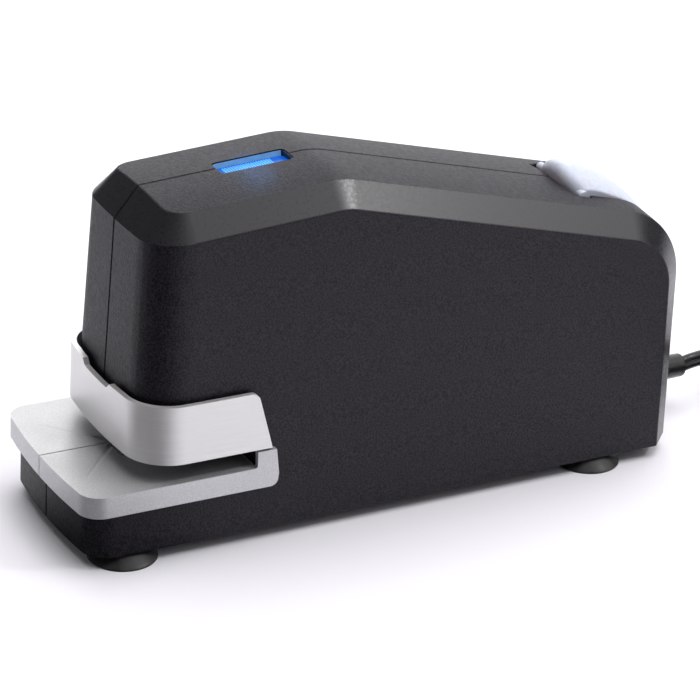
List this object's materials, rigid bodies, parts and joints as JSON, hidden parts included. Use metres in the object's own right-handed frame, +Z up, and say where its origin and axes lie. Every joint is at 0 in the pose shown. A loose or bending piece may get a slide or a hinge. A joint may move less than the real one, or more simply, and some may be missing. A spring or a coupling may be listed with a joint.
{
  "type": "electric stapler",
  "caption": "Electric desk stapler with a front magazine drawer, solenoid driver, release button, suction feet and a coiled mains cord.",
  "frame": {"origin": "on the table under the middle of the body, on the seam between the two housing halves", "axes": "+X to the right half, -Y to the paper slot at the front, +Z up"},
  "size_m": [0.1005, 0.3146, 0.1099],
  "materials": {
    "black_plastic": "fine-grained moulded plastic, near black",
    "silver_finish": "satin silver finish",
    "collar_metal": "satin silver",
    "button_plastic": "pale bluish grey, satin",
    "blue_lens": "translucent blue, lit",
    "foot_rubber": "soft black rubber",
    "bright_steel": "bright",
    "zinc_plate": "zinc plated pressed steel",
    "enamelled_copper": "enamelled copper wire",
    "nylon": "natural nylon",
    "circuit_board": "green board",
    "component_case": "moulded component cases",
    "cord_pvc": "soft black PVC"
  },
  "bodies": {
    "housing": {"housing_right": "black_plastic", "housing_left": "black_plastic", "base_trim_right": "silver_finish", "base_trim_left": "silver_finish", "indicator_lens": "blue_lens", "indicator_led": "blue_lens", "suction_foot_front_left": "foot_rubber", "suction_foot_front_right": "foot_rubber", "suction_foot_rear_left": "foot_rubber", "suction_foot_rear_right": "foot_rubber", "anvil": "bright_steel", "fuse": "bright_steel", "latch_axle": "bright_steel", "lever_axle": "bright_steel", "plug_blade_left": "bright_steel", "plug_blade_right": "bright_steel", "housing_screw_1": "bright_steel", "housing_screw_2": "bright_steel", "housing_screw_3": "bright_steel", "housing_screw_4": "bright_steel", "housing_screw_5": "bright_steel", "solenoid_frame": "zinc_plate", "chassis_plate": "zinc_plate", "heat_sink": "zinc_plate", "solenoid_winding": "enamelled_copper", "solenoid_bobbin": "nylon", "circuit_board": "circuit_board", "indicator_board": "circuit_board", "capacitor": "component_case", "triac": "component_case", "paper_switch": "component_case", "strain_relief": "cord_pvc", "power_cord": "cord_pvc", "cord_coil": "cord_pvc", "plug_body": "cord_pvc"},
    "magazine": {"magazine_collar": "collar_metal", "magazine_channel": "zinc_plate", "staple_rail": "bright_steel", "staple_strip": "bright_steel"},
    "pusher": {"staple_pusher": "nylon", "pusher_spring": "bright_steel"},
    "driver": {"plunger": "bright_steel", "driver_arm": "zinc_plate", "driver_blade": "bright_steel", "return_spring": "bright_steel"},
    "button": {"release_button": "button_plastic"},
    "push_rod": {"release_rod": "nylon"},
    "latch": {"latch_lever": "zinc_plate"},
    "paper_finger": {"paper_lever": "nylon"}
  },
  "joints": [
    {"name": "magazine_slide", "type": "slide", "parent": "housing", "child": "magazine", "axis": [0, 1, 0], "range_m": [-0.105, 0]},
    {"name": "pusher_slide", "type": "slide", "parent": "magazine", "child": "pusher", "axis": [0, 1, 0], "range_m": [0, 0.045], "stiffness_N_per_m": 60, "springref_m": -0.03, "deforming": ["pusher_spring"]},
    {"name": "driver_slide", "type": "slide", "parent": "housing", "child": "driver", "axis": [0, 0, -1], "range_m": [0, 0.0118], "stiffness_N_per_m": 600, "springref_m": -0.006, "deforming": ["return_spring"]},
    {"name": "button_hinge", "type": "hinge", "parent": "housing", "child": "button", "pos_m": [0, 0.0714, 0.0864], "axis": [-1, 0, 0], "range_deg": [0, 10], "stiffness_Nm_per_rad": 0.4, "springref_deg": -17.19},
    {"name": "release_rod_slide", "type": "slide", "parent": "housing", "child": "push_rod", "axis": [0, 0, -1], "range_m": [0, 0.0023]},
    {"name": "latch_hinge", "type": "hinge", "parent": "housing", "child": "latch", "pos_m": [0, 0.074, 0.048], "axis": [-1, 0, 0], "range_deg": [0, 13]},
    {"name": "paper_lever_hinge", "type": "hinge", "parent": "housing", "child": "paper_finger", "pos_m": [0.0112, -0.048, 0.04], "axis": [1, 0, 0], "range_deg": [0, 15], "stiffness_Nm_per_rad": 0.004, "springref_deg": -17.19}
  ],
  "couplings": [
    {"joint": "release_rod_slide", "follows": "button_hinge", "m_per_rad": 0.0126},
    {"joint": "latch_hinge", "follows": "button_hinge", "ratio": 1.26}
  ]
}
